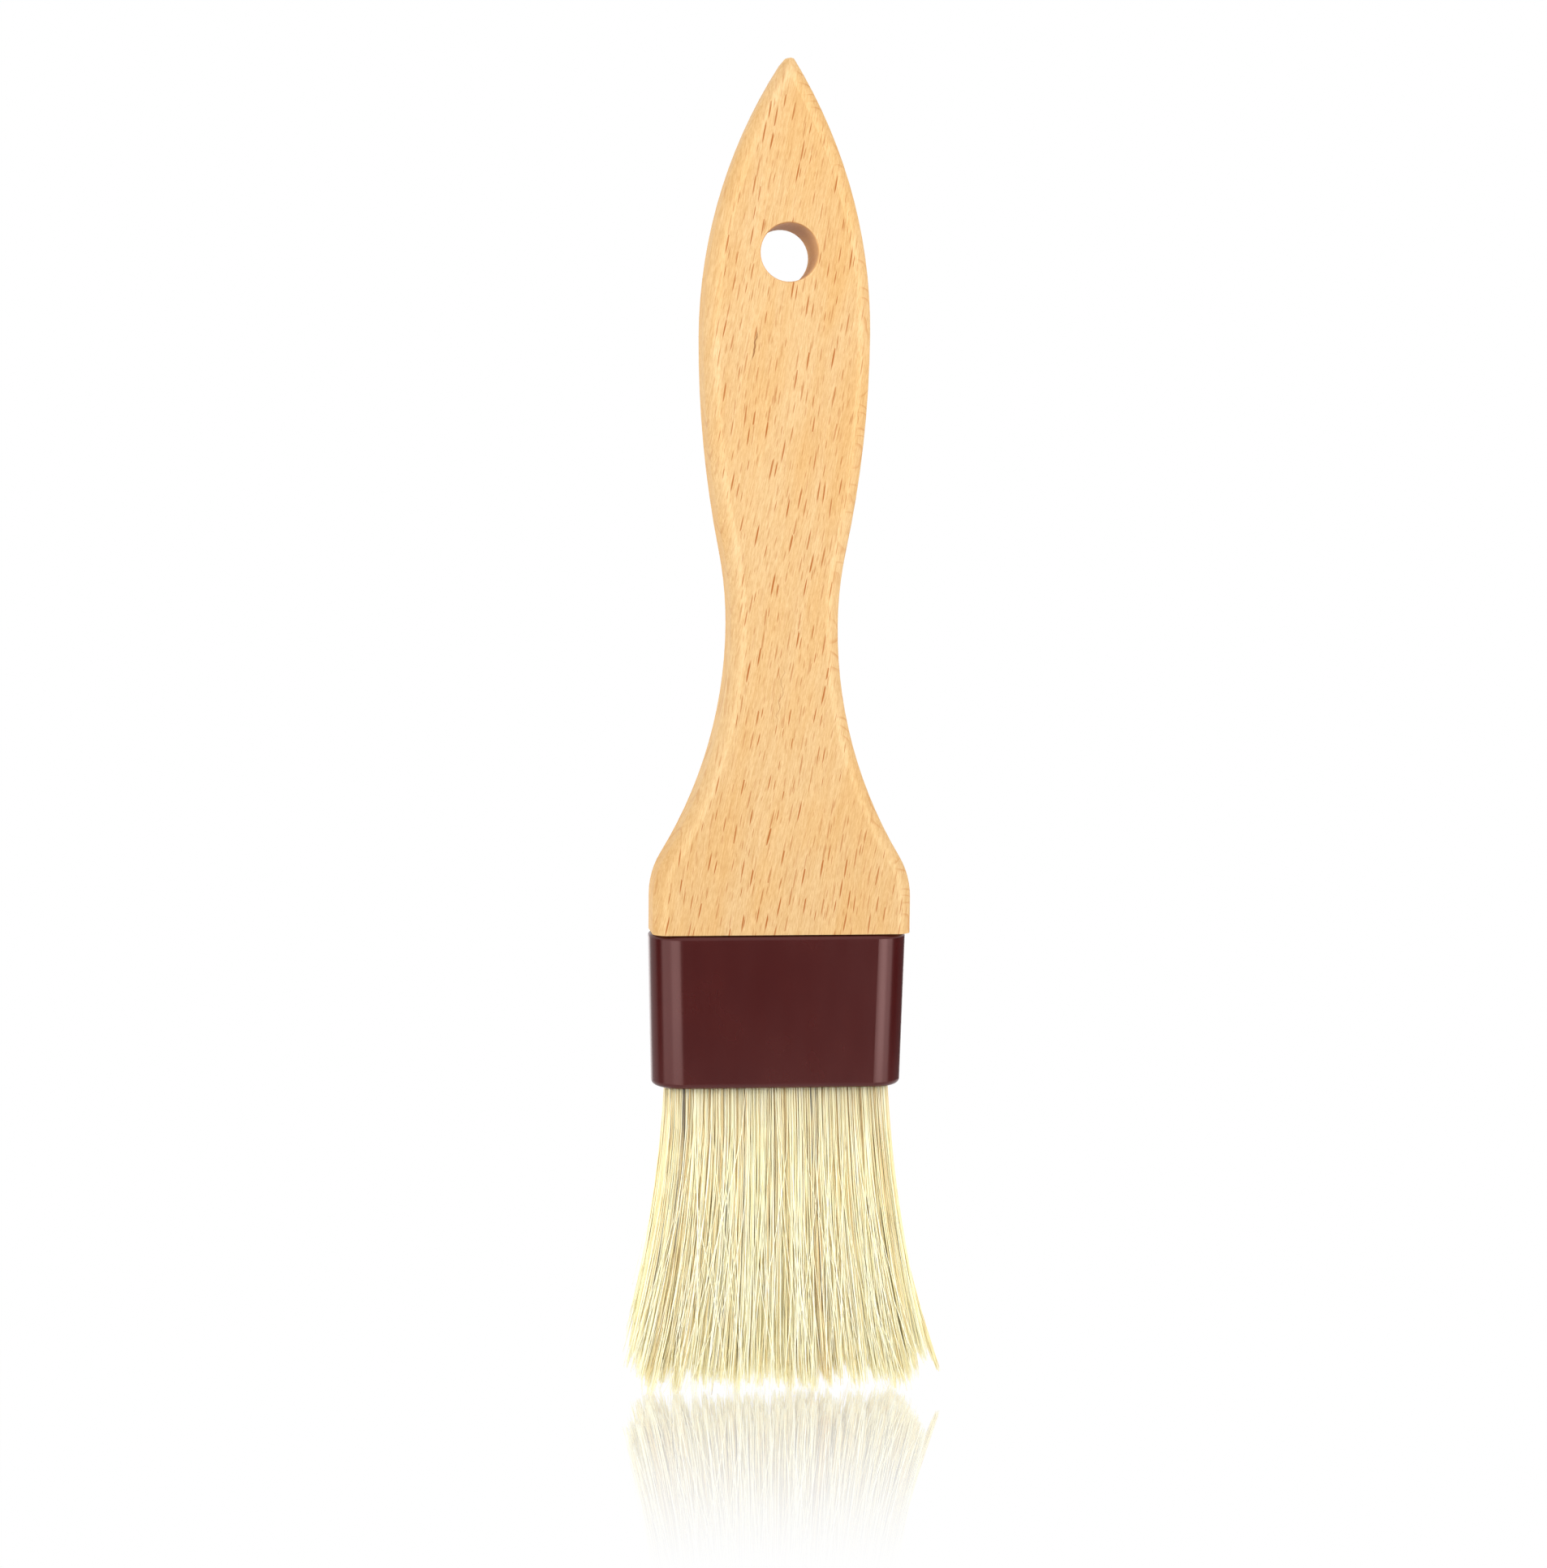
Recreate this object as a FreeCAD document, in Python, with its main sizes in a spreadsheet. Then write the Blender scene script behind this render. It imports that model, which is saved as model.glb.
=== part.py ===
import FreeCAD, Part
import math
import os

import Sketcher
from FreeCAD import Vector

# A flat pastry brush: a beech handle whose tenon is glued into a moulded plastic ferrule,
# and two rows of bristle set in resin on either side of a spacer plug.
#
# Frame, in millimetres: the origin is the centre of the hanging hole, halfway through the handle.
# +Z runs along the handle to its tip, the bristles point to -Z, +X is the width and -Y is the front.
# A "drop" is a distance below the origin.

SIZES = {
    # handle outline, one half
    "tip_height": 27.6,
    "paddle_half_width": 12.23,
    "paddle_drop": 11.6,
    "crown_radius": 72.4,
    "paddle_radius": 156.0,
    "waist_half_width": 7.93,
    "waist_drop": 53.9,
    "flare_radius": 65.9,
    "shoulder_half_width": 19.25,
    "shoulder_drop": 94.3,
    "base_drop": 99.6,
    # handle section, hanging hole and tenon
    "handle_thickness": 10.2,
    "edge_round": 2.2,
    "tip_trim_half_width": 9.5,
    "tip_trim_half_depth": 7.5,
    "hole_diameter": 8.4,
    "hole_edge_round": 0.3,
    "tenon_length": 9.5,
    "glue_thickness": 0.15,
    # the ferrule and all it holds sit this far to the right of the handle's centre line
    "head_shift": -0.3,
    # ferrule
    "joint_gap": 0.12,
    "ferrule_length": 23.0,
    "ferrule_top_half_width": 19.3,
    "ferrule_top_half_depth": 5.25,
    "ferrule_mouth_half_width": 18.75,
    "ferrule_mouth_half_depth": 5.0,
    "ferrule_corner_radius": 4.75,
    "ferrule_top_round": 0.6,
    "ferrule_mouth_round": 0.8,
    "cavity_half_width": 17.1,
    "cavity_half_depth": 3.6,
    "cavity_corner_radius": 2.0,
    "cavity_edge_round": 0.3,
    # setting resin and spacer plug
    "resin_length": 12.0,
    "plug_half_width": 13.0,
    "plug_half_depth": 1.5,
    "plug_corner_radius": 0.5,
    # one bristle row, at its root, its middle and its tips
    "row_gap": 0.2,
    "root_clearance": 0.3,
    "root_half_width": 16.6,
    "root_half_depth": 1.55,
    "middle_drop": 142.5,
    "middle_half_width": 19.0,
    "middle_half_depth": 2.0,
    "tips_drop": 170.0,
    "tips_half_width": 24.2,
    "tips_half_depth": 2.5,
    "row_corner_radius": 1.5,
}

# Heights worked out from the sizes, as expressions on the sheet.
BASE = "-Sizes.base_drop"
FERRULE_TOP = "-Sizes.base_drop - Sizes.joint_gap"
FERRULE_MOUTH = "-Sizes.base_drop - Sizes.joint_gap - Sizes.ferrule_length"
TENON_END = "-Sizes.base_drop - Sizes.tenon_length"
ROW_ROOT = "-Sizes.base_drop - Sizes.tenon_length - Sizes.resin_length - Sizes.root_clearance"
ROW_MIDDLE = "-Sizes.middle_drop"
ROW_TIPS = "-Sizes.tips_drop"

START, END, CENTRE = 1, 2, 3
ORIGIN = (-1, 1)
VERTICAL_AXIS = -2
TOLERANCE = 1e-4

doc = FreeCAD.newDocument("PastryBrush")
sheet = doc.addObject("Spreadsheet::Sheet", "Sizes")
for row, (alias, value) in enumerate(SIZES.items(), start=1):
    sheet.set(f"A{row}", alias)
    sheet.set(f"B{row}", str(value))
    sheet.setAlias(f"B{row}", alias)
doc.recompute()


def size(alias):
    return float(sheet.get(alias))


def new_body(label):
    body = doc.addObject("PartDesign::Body", label)
    body.Label = label
    return body


def origin_plane(body, role):
    return next(plane for plane in body.Origin.OriginFeatures if plane.Role == role)


def new_sketch(body, name, role="XY_Plane", height=None, back=None):
    """A sketch on one of the body's origin planes, raised and moved back by expressions on the sheet."""
    sketch = body.newObject("Sketcher::SketchObject", name)
    sketch.AttachmentSupport = [(origin_plane(body, role), "")]
    sketch.MapMode = "FlatFace"
    if height:
        sketch.setExpression("AttachmentOffset.Base.z", height)
    if back:
        sketch.setExpression("AttachmentOffset.Base.y", back)
    return sketch


def hold(sketch, *constraint):
    sketch.addConstraint(Sketcher.Constraint(*constraint))


def bind(sketch, name, expression, *constraint):
    """Add a dimension to the sketch and drive it from the sheet."""
    index = sketch.addConstraint(Sketcher.Constraint(*constraint))
    sketch.renameConstraint(index, name)
    sketch.setExpression(f"Constraints.{name}", expression)


def new_arc(sketch, centre_x, centre_y, radius, start_angle, end_angle):
    circle = Part.Circle(Vector(centre_x, centre_y, 0), Vector(0, 0, 1), radius)
    return sketch.addGeometry(Part.ArcOfCircle(circle, start_angle, end_angle))


def new_line(sketch, start, end):
    return sketch.addGeometry(Part.LineSegment(Vector(*start, 0), Vector(*end, 0)))


def rounded_rectangle(sketch, half_width, half_depth, corner_radius, inset=None):
    """A rectangle with round corners about the sketch's origin, from the sheet's aliases.

    An inset is an alias too: its value is taken off all three sizes.
    """
    less = size(inset) if inset else 0.0
    wide, deep, corner = (size(alias) - less for alias in (half_width, half_depth, corner_radius))
    x, y = wide - corner, deep - corner
    quarter = math.pi / 2
    centres = [(x, y), (-x, y), (-x, -y), (x, -y)]
    arcs = [new_arc(sketch, *centres[i], corner, i * quarter, (i + 1) * quarter) for i in range(4)]
    rear = new_line(sketch, (x, deep), (-x, deep))
    left = new_line(sketch, (-wide, y), (-wide, -y))
    front = new_line(sketch, (-x, -deep), (x, -deep))
    right = new_line(sketch, (wide, -y), (wide, y))
    for i, line in enumerate((rear, left, front, right)):
        hold(sketch, "Tangent", arcs[i], END, line, START)
        hold(sketch, "Tangent", line, END, arcs[(i + 1) % 4], START)
        hold(sketch, "Vertical" if i % 2 else "Horizontal", line)
    for arc in arcs[1:]:
        hold(sketch, "Equal", arcs[0], arc)

    def driven(alias):
        return f"Sizes.{alias} - Sizes.{inset}" if inset else f"Sizes.{alias}"

    bind(sketch, "corner", driven(corner_radius), "Radius", arcs[0], corner)
    bind(sketch, "to_right", driven(half_width), "DistanceX", *ORIGIN, right, START, wide)
    bind(sketch, "to_left", driven(half_width), "DistanceX", left, START, *ORIGIN, wide)
    bind(sketch, "to_rear", driven(half_depth), "DistanceY", *ORIGIN, rear, START, deep)
    bind(sketch, "to_front", driven(half_depth), "DistanceY", front, START, *ORIGIN, deep)


def pad(body, sketch, name, length, reversed_way=False, symmetric=False):
    feature = body.newObject("PartDesign::Pad", name)
    feature.Profile = sketch
    feature.SideType = "Symmetric" if symmetric else "One side"
    feature.Reversed = reversed_way
    feature.setExpression("Length", length)
    doc.recompute()
    return feature


def pocket_through(body, sketch, name):
    """Cut the sketch's shape right through the body, both ways."""
    feature = body.newObject("PartDesign::Pocket", name)
    feature.Profile = sketch
    feature.Type = "ThroughAll"
    feature.SideType = "Symmetric"
    return finish_cut(body, feature)


def finish_cut(body, feature):
    before = feature.BaseFeature.Shape.Volume
    doc.recompute()
    if feature.Shape.Volume > before - TOLERANCE:
        raise ValueError(f"{feature.Label} cuts nothing")
    return feature


def loft(body, sections, name):
    feature = body.newObject("PartDesign::AdditiveLoft", name)
    feature.Profile = sections[0]
    feature.Sections = sections[1:]
    doc.recompute()
    return feature


def fillet(body, base, name, radius, chosen):
    """Round the edges of base for which chosen(edge) is true."""
    edges = [f"Edge{i}" for i, edge in enumerate(base.Shape.Edges, start=1) if chosen(edge)]
    feature = body.newObject("PartDesign::Fillet", name)
    feature.Base = (base, edges)
    feature.setExpression("Radius", f"Sizes.{radius}")
    doc.recompute()
    return feature


def lies_at(edge, axis, value):
    """Whether the whole edge lies in the plane axis = value."""
    points = edge.discretize(5)
    return all(abs(getattr(point, axis) - value) < TOLERANCE for point in points)


def shift_head(piece):
    piece.setExpression("Placement.Base.x", "Sizes.head_shift")


def handle_outline(sketch):
    """Half of the board's outline: five arcs that run on smoothly from the tip to the shoulder.

    The waist's upper arc and the shoulder's arc get their radii from the arcs that they join.
    """
    paddle_x, paddle_y = size("paddle_half_width"), -size("paddle_drop")
    waist_x, waist_y = size("waist_half_width"), -size("waist_drop")
    shoulder_x, shoulder_y = size("shoulder_half_width"), -size("shoulder_drop")
    base_y = -size("base_drop")
    crown_r, paddle_r, flare_r = size("crown_radius"), size("paddle_radius"), size("flare_radius")

    crown_centre = paddle_x - crown_r
    crown_angle = math.acos(-crown_centre / crown_r)
    tip_y = paddle_y + crown_r * math.sin(crown_angle)

    fall = paddle_y - waist_y
    spread = waist_x - paddle_x + paddle_r
    neck_r = (paddle_r**2 - fall**2 - spread**2) / (2 * (spread - paddle_r))
    neck_angle = math.asin(fall / (paddle_r + neck_r))

    fall = waist_y - shoulder_y
    spread = waist_x + flare_r - shoulder_x
    shoulder_r = (fall**2 + spread**2 - flare_r**2) / (2 * (flare_r - spread))
    flare_angle = math.asin(fall / (flare_r + shoulder_r))

    half_turn = math.pi
    crown = new_arc(sketch, crown_centre, paddle_y, crown_r, 0, crown_angle)
    paddle = new_arc(sketch, paddle_x - paddle_r, paddle_y, paddle_r, -neck_angle, 0)
    neck = new_arc(sketch, waist_x + neck_r, waist_y, neck_r, half_turn - neck_angle, half_turn)
    flare = new_arc(sketch, waist_x + flare_r, waist_y, flare_r, half_turn, half_turn + flare_angle)
    shoulder = new_arc(sketch, shoulder_x - shoulder_r, shoulder_y, shoulder_r, 0, flare_angle)
    side = new_line(sketch, (shoulder_x, shoulder_y), (shoulder_x, base_y))
    base = new_line(sketch, (shoulder_x, base_y), (0, base_y))
    middle = new_line(sketch, (0, base_y), (0, tip_y))

    hold(sketch, "Tangent", crown, START, paddle, END)
    hold(sketch, "Tangent", paddle, START, neck, START)
    hold(sketch, "Tangent", neck, END, flare, START)
    hold(sketch, "Tangent", flare, END, shoulder, END)
    hold(sketch, "Tangent", shoulder, START, side, START)
    hold(sketch, "Coincident", side, END, base, START)
    hold(sketch, "Coincident", base, END, middle, START)
    hold(sketch, "Coincident", middle, END, crown, END)
    hold(sketch, "Vertical", side)
    hold(sketch, "Horizontal", base)
    hold(sketch, "Vertical", middle)
    hold(sketch, "PointOnObject", middle, START, VERTICAL_AXIS)
    hold(sketch, "Horizontal", crown, CENTRE, crown, START)
    hold(sketch, "Horizontal", flare, CENTRE, flare, START)
    bind(sketch, "crown", "Sizes.crown_radius", "Radius", crown, crown_r)
    bind(sketch, "paddle", "Sizes.paddle_radius", "Radius", paddle, paddle_r)
    bind(sketch, "flare", "Sizes.flare_radius", "Radius", flare, flare_r)
    stations = {"paddle": (crown, START), "waist": (flare, START), "shoulder": (side, START)}
    for name, point in stations.items():
        width, drop = f"{name}_half_width", f"{name}_drop"
        bind(sketch, width, f"Sizes.{width}", "DistanceX", *ORIGIN, *point, size(width))
        bind(sketch, drop, f"Sizes.{drop}", "DistanceY", *point, *ORIGIN, size(drop))
    bind(sketch, "base_drop", "Sizes.base_drop", "DistanceY", side, END, *ORIGIN, -base_y)


def make_handle():
    """The beech board: padded half outline, mirrored, edges rounded, tip blunted, hole and tenon."""
    body = new_body("handle")
    outline = new_sketch(body, "handle_outline", "XZ_Plane")
    handle_outline(outline)
    half = pad(body, outline, "half_board", "Sizes.handle_thickness", symmetric=True)

    face_y = size("handle_thickness") / 2

    def is_long_edge(edge):
        on_face = lies_at(edge, "y", face_y) or lies_at(edge, "y", -face_y)
        is_end = lies_at(edge, "z", -size("base_drop")) or lies_at(edge, "x", 0)
        return on_face and not is_end

    rounded = fillet(body, half, "edge_rounding", "edge_round", is_long_edge)
    board = body.newObject("PartDesign::Mirrored", "board")
    board.TransformMode = "Whole shape"
    board.MirrorPlane = (origin_plane(body, "YZ_Plane"), [""])
    body.Tip = board
    doc.recompute()
    if abs(board.Shape.Volume - 2 * rounded.Shape.Volume) > 1:
        raise ValueError("the board is not twice its half")

    trim = new_sketch(body, "tip_trim_outline", height="Sizes.tip_height")
    rounded_rectangle(trim, "tip_trim_half_width", "tip_trim_half_depth", "edge_round")
    blunt = body.newObject("PartDesign::Pocket", "tip_trim")
    blunt.Profile = trim
    blunt.Type = "ThroughAll"
    blunt.Reversed = True
    finish_cut(body, blunt)

    circle = new_sketch(body, "hanging_hole_outline", "XZ_Plane")
    radius = size("hole_diameter") / 2
    ring = circle.addGeometry(Part.Circle(Vector(0, 0, 0), Vector(0, 0, 1), radius))
    hold(circle, "Coincident", ring, CENTRE, *ORIGIN)
    bind(circle, "diameter", "Sizes.hole_diameter", "Diameter", ring, 2 * radius)
    bored = pocket_through(body, circle, "hanging_hole")

    def is_rim(edge):
        return isinstance(edge.Curve, Part.Circle) and abs(edge.Curve.Radius - radius) < TOLERANCE

    fillet(body, bored, "hole_edge_rounding", "hole_edge_round", is_rim)

    tenon = new_sketch(body, "tenon_outline", height=BASE)
    tenon.setExpression("AttachmentOffset.Base.x", "Sizes.head_shift")
    rounded_rectangle(
        tenon, "cavity_half_width", "cavity_half_depth", "cavity_corner_radius", "glue_thickness"
    )
    pad(body, tenon, "tenon", "Sizes.tenon_length", reversed_way=True)
    return body


def make_tenon_glue():
    """The film between the tenon and the ferrule's wall."""
    body = new_body("tenon_glue")
    outside = new_sketch(body, "glue_outside", height=FERRULE_TOP)
    rounded_rectangle(outside, "cavity_half_width", "cavity_half_depth", "cavity_corner_radius")
    pad(body, outside, "glue_block", "Sizes.tenon_length - Sizes.joint_gap", reversed_way=True)
    inside = new_sketch(body, "glue_inside", height=FERRULE_TOP)
    rounded_rectangle(
        inside, "cavity_half_width", "cavity_half_depth", "cavity_corner_radius", "glue_thickness"
    )
    pocket_through(body, inside, "tenon_room")
    shift_head(body)
    return body


def make_ferrule():
    """The moulded sleeve: drafted outside, straight cavity, rounded end edges."""
    body = new_body("ferrule")
    top = new_sketch(body, "ferrule_top", height=FERRULE_TOP)
    rounded_rectangle(
        top, "ferrule_top_half_width", "ferrule_top_half_depth", "ferrule_corner_radius"
    )
    mouth = new_sketch(body, "ferrule_mouth", height=FERRULE_MOUTH)
    rounded_rectangle(
        mouth, "ferrule_mouth_half_width", "ferrule_mouth_half_depth", "ferrule_corner_radius"
    )
    block = loft(body, [top, mouth], "ferrule_block")
    top_z = -size("base_drop") - size("joint_gap")
    mouth_z = top_z - size("ferrule_length")
    soft_top = fillet(
        body, block, "top_rounding", "ferrule_top_round", lambda edge: lies_at(edge, "z", top_z)
    )
    soft_mouth = fillet(
        body, soft_top, "mouth_rounding", "ferrule_mouth_round",
        lambda edge: lies_at(edge, "z", mouth_z),
    )
    cavity = new_sketch(body, "ferrule_cavity", height=FERRULE_TOP)
    rounded_rectangle(cavity, "cavity_half_width", "cavity_half_depth", "cavity_corner_radius")
    hollow = pocket_through(body, cavity, "cavity")

    half_width = size("cavity_half_width") + TOLERANCE
    half_depth = size("cavity_half_depth") + TOLERANCE

    def is_cavity_mouth(edge):
        points = edge.discretize(5)
        inside = all(abs(point.x) < half_width and abs(point.y) < half_depth for point in points)
        return inside and lies_at(edge, "z", mouth_z)

    fillet(body, hollow, "cavity_edge_rounding", "cavity_edge_round", is_cavity_mouth)
    shift_head(body)
    return body


def make_resin_setting():
    """The resin cast round the bristle roots, with the slot that the plug fills."""
    body = new_body("resin_setting")
    block = new_sketch(body, "resin_outline", height=TENON_END)
    rounded_rectangle(block, "cavity_half_width", "cavity_half_depth", "cavity_corner_radius")
    pad(body, block, "resin_block", "Sizes.resin_length", reversed_way=True)
    slot = new_sketch(body, "plug_slot_outline", height=TENON_END)
    rounded_rectangle(slot, "plug_half_width", "plug_half_depth", "plug_corner_radius")
    pocket_through(body, slot, "plug_slot")
    shift_head(body)
    return body


def make_spacer_plug():
    """The flat strip between the front and rear rows."""
    body = new_body("spacer_plug")
    outline = new_sketch(body, "plug_outline", height=TENON_END)
    rounded_rectangle(outline, "plug_half_width", "plug_half_depth", "plug_corner_radius")
    pad(body, outline, "plug_strip", "Sizes.resin_length", reversed_way=True)
    shift_head(body)
    return body


def make_bristle_row(label, side):
    """One row's envelope, from the resin to the tips; side is -1 for the front row and 1 for the rear."""
    body = new_body(label)
    sections = []
    for station, height in (("root", ROW_ROOT), ("middle", ROW_MIDDLE), ("tips", ROW_TIPS)):
        back = f"{side} * (Sizes.row_gap / 2 + Sizes.{station}_half_depth)"
        section = new_sketch(body, f"{label}_{station}", height=height, back=back)
        rounded_rectangle(
            section, f"{station}_half_width", f"{station}_half_depth", "row_corner_radius"
        )
        sections.append(section)
    loft(body, sections, f"{label}_row")
    shift_head(body)
    return body


pieces = [
    make_handle(),
    make_tenon_glue(),
    make_ferrule(),
    make_resin_setting(),
    make_spacer_plug(),
    make_bristle_row("front_bristles", -1),
    make_bristle_row("rear_bristles", 1),
]
doc.recompute()

for item in doc.Objects:
    if {"Invalid", "Error"} & set(item.State):
        raise ValueError(f"{item.Label} failed: {item.State}")
    if item.TypeId == "Sketcher::SketchObject" and not item.FullyConstrained:
        raise ValueError(f"{item.Label} is not fully constrained")
for piece in pieces:
    if piece.Shape.isNull() or not piece.Shape.isValid() or len(piece.Shape.Solids) != 1:
        raise ValueError(f"{piece.Label} is not one valid solid")

os.makedirs("parts", exist_ok=True)
for piece in pieces:
    piece.Shape.exportStep(f"parts/{piece.Label}.step")
    box = piece.Shape.BoundBox
    print(f"{piece.Label}: {piece.Shape.Volume:.1f} mm3")
    print(f"  x {box.XMin:.2f}..{box.XMax:.2f}, y {box.YMin:.2f}..{box.YMax:.2f}")
    print(f"  z {box.ZMin:.2f}..{box.ZMax:.2f}")
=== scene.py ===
import math

import bpy
import numpy as np
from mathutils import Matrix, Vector


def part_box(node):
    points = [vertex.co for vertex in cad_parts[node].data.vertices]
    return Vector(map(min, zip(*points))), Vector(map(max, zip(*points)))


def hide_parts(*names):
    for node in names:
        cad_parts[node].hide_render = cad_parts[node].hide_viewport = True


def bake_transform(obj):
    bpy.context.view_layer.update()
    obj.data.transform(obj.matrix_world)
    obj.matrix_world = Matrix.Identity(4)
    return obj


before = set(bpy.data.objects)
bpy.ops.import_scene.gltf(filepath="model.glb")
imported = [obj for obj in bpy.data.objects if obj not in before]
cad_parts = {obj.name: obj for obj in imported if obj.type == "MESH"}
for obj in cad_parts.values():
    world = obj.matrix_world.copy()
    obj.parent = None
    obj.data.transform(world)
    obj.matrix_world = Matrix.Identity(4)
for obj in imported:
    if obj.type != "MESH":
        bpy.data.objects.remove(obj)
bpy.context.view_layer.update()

# A flat pastry brush. The handle, ferrule and what is inside it are the CAD nodes with finished materials.
# Each row of bristle is a mesh of separate hairs that stands for the row's closed solid.
#
# Metres, in the CAD's own frame: +Z to the handle's tip, bristles to -Z, +X the width, -Y the front.

MM = 0.001

row_low, row_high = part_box("front_bristles")
cavity_low, cavity_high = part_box("resin_setting")
mouth_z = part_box("ferrule")[0].z
root_z = cavity_low.z
tips_z = row_low.z
head_x = (row_low.x + row_high.x) / 2


# ---------------------------------------------------------------- materials


class Shader:
    """A material and its node tree, with short calls for the nodes that the materials share."""

    def __init__(self, name):
        self.material = bpy.data.materials.new(name)
        self.material.use_nodes = True
        self.tree = self.material.node_tree
        self.surface = self.tree.nodes["Principled BSDF"]

    def feed(self, socket, value):
        if isinstance(value, bpy.types.NodeSocket):
            self.tree.links.new(value, socket)
        else:
            socket.default_value = value

    def node(self, kind, inputs=None, **settings):
        made = self.tree.nodes.new(kind)
        for name, value in settings.items():
            setattr(made, name, value)
        for name, value in (inputs or {}).items():
            self.feed(made.inputs[name], value)
        return made

    def set_surface(self, **inputs):
        for name, value in inputs.items():
            self.feed(self.surface.inputs[name.replace("_", " ")], value)

    def math(self, operation, first, second=0.0, third=0.0):
        made = self.node("ShaderNodeMath", {0: first, 1: second, 2: third}, operation=operation)
        return made.outputs[0]

    def vector_math(self, operation, first, second):
        made = self.node("ShaderNodeVectorMath", {0: first, 1: second}, operation=operation)
        return made.outputs[0]

    def length(self, vector):
        made = self.node("ShaderNodeVectorMath", {0: vector}, operation="LENGTH")
        return made.outputs["Value"]

    def axes(self, vector):
        """The vector's parts, as outputs called X, Y and Z."""
        return self.node("ShaderNodeSeparateXYZ", {0: vector}).outputs

    def position(self):
        """The place on the piece, in millimetres."""
        place = self.node("ShaderNodeTexCoord").outputs["Object"]
        scaled = self.node("ShaderNodeVectorMath", {0: place, "Scale": 1 / MM}, operation="SCALE")
        return scaled.outputs[0]

    def stretched(self, vector, across, deep, along, start=(0, 0, 0)):
        """The vector measured in cells of this size in X, Y and Z."""
        inputs = {"Vector": vector, "Scale": (1 / across, 1 / deep, 1 / along), "Location": start}
        return self.node("ShaderNodeMapping", inputs).outputs[0]

    def noise(self, vector, detail=2.0, roughness=0.5):
        inputs = {"Vector": vector, "Scale": 1.0, "Detail": detail, "Roughness": roughness}
        return self.node("ShaderNodeTexNoise", inputs).outputs["Fac"]

    def between(self, value, low, high, to_low=0.0, to_high=1.0):
        """The value carried smoothly from low..high to to_low..to_high."""
        inputs = {"Value": value, "From Min": low, "From Max": high, "To Min": to_low, "To Max": to_high}
        return self.node("ShaderNodeMapRange", inputs, interpolation_type="SMOOTHSTEP").outputs[0]

    def mix(self, share, first, second, blend_type="MIX"):
        """Two colours mixed; inputs 6 and 7 and output 2 are the node's colour sockets."""
        made = self.node("ShaderNodeMix", data_type="RGBA", blend_type=blend_type)
        self.feed(made.inputs["Factor"], share)
        for socket, colour in zip((made.inputs[6], made.inputs[7]), (first, second)):
            self.feed(socket, colour if isinstance(colour, bpy.types.NodeSocket) else (*colour, 1.0))
        return made.outputs[2]

    def ramp(self, value, stops):
        """A colour ramp through (place, colour) stops."""
        made = self.node("ShaderNodeValToRGB", {"Fac": value})
        elements = made.color_ramp.elements
        while len(elements) < len(stops):
            elements.new(0.5)
        for element, (place, colour) in zip(elements, stops):
            element.position = place
            element.color = (*colour, 1.0)
        return made.outputs["Color"]

    def bump(self, height, distance, strength=1.0):
        inputs = {"Height": height, "Distance": distance, "Strength": strength}
        return self.node("ShaderNodeBump", inputs).outputs["Normal"]


LIGHT_BEECH = (0.512, 0.341, 0.170)
WARM_BEECH = (0.500, 0.306, 0.130)
FLECK_BROWN = (0.29, 0.086, 0.018)
RING_BROWN = (0.38, 0.16, 0.050)
# The dark brown of the open cracks, also used for the painted shade at the top of the hanging hole.
CRACK_AND_BORE_SHADE_BROWN = (0.17, 0.058, 0.018)
# A pale band on the roundovers: painted sheen, partly sanded edge wear.
EDGE_SHEEN_AND_WEAR = (1.09, 1.14, 1.20)
BORE_BROWN = (0.56, 0.30, 0.125)

# How much the fibres lean to +X as they rise and as they come forward, and how far they wave in millimetres.
GRAIN_LEAN = 0.18
GRAIN_LEAN_FORWARD = 0.12
GRAIN_WAVE = 0.45

# The cells that hold the flecks slope, so that flecks don't stand in level rows. Flecks differ in size and
# strength, the small ones are fainter, and all of them fade from the flat faces to the rounded sides.
FLECK_SLOPE = 0.9
FLECK_SIZES = (0.45, 1.0)
FLECK_STRENGTHS = (0.15, 1.0)
SMALL_FLECK_SHARE = 0.5
FLAT_FLECK_SHARE, SIDE_FLECK_SHARE = 0.92, 0.25

# How dark the open crack below the hanging hole is, and how much of that the fine one below the waist has.
CRACK_SHARE = 0.75
FINE_CRACK_SHARE = 0.45

# Ring lines in millimetres: their spacing, and how far they stray from level. Then how dark they get.
RING_SPACING = 3.1
RING_STRAY = 9.0
RING_SHARE = 0.50

# The hanging hole in millimetres: its radius, and how far round it its own colour fades out.
# Then how strong that colour is, and how dark the painted shade at the top of the hole gets.
BORE_RADIUS = 4.2
BORE_EDGE = 0.25
BORE_SHARE = 0.8
CROWN_SHADE_SHARE = 0.6


def grain_position(shader, place):
    """The place in the wood, in millimetres, with X moved so that the leaning, wavy fibres run upright."""
    parts = shader.axes(place)
    wave = shader.noise(shader.stretched(place, 9, 14, 30), detail=1.0)
    lean = shader.math("MULTIPLY", parts["Z"], -GRAIN_LEAN)
    moved = shader.math("ADD", parts["X"], lean)
    moved = shader.math("ADD", moved, shader.between(wave, 0.2, 0.8, -GRAIN_WAVE, GRAIN_WAVE))
    moved = shader.math("ADD", moved, shader.math("MULTIPLY", parts["Y"], GRAIN_LEAN_FORWARD))
    return shader.node("ShaderNodeCombineXYZ", {0: moved, 1: parts["Y"], 2: parts["Z"]}).outputs[0]


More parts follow.
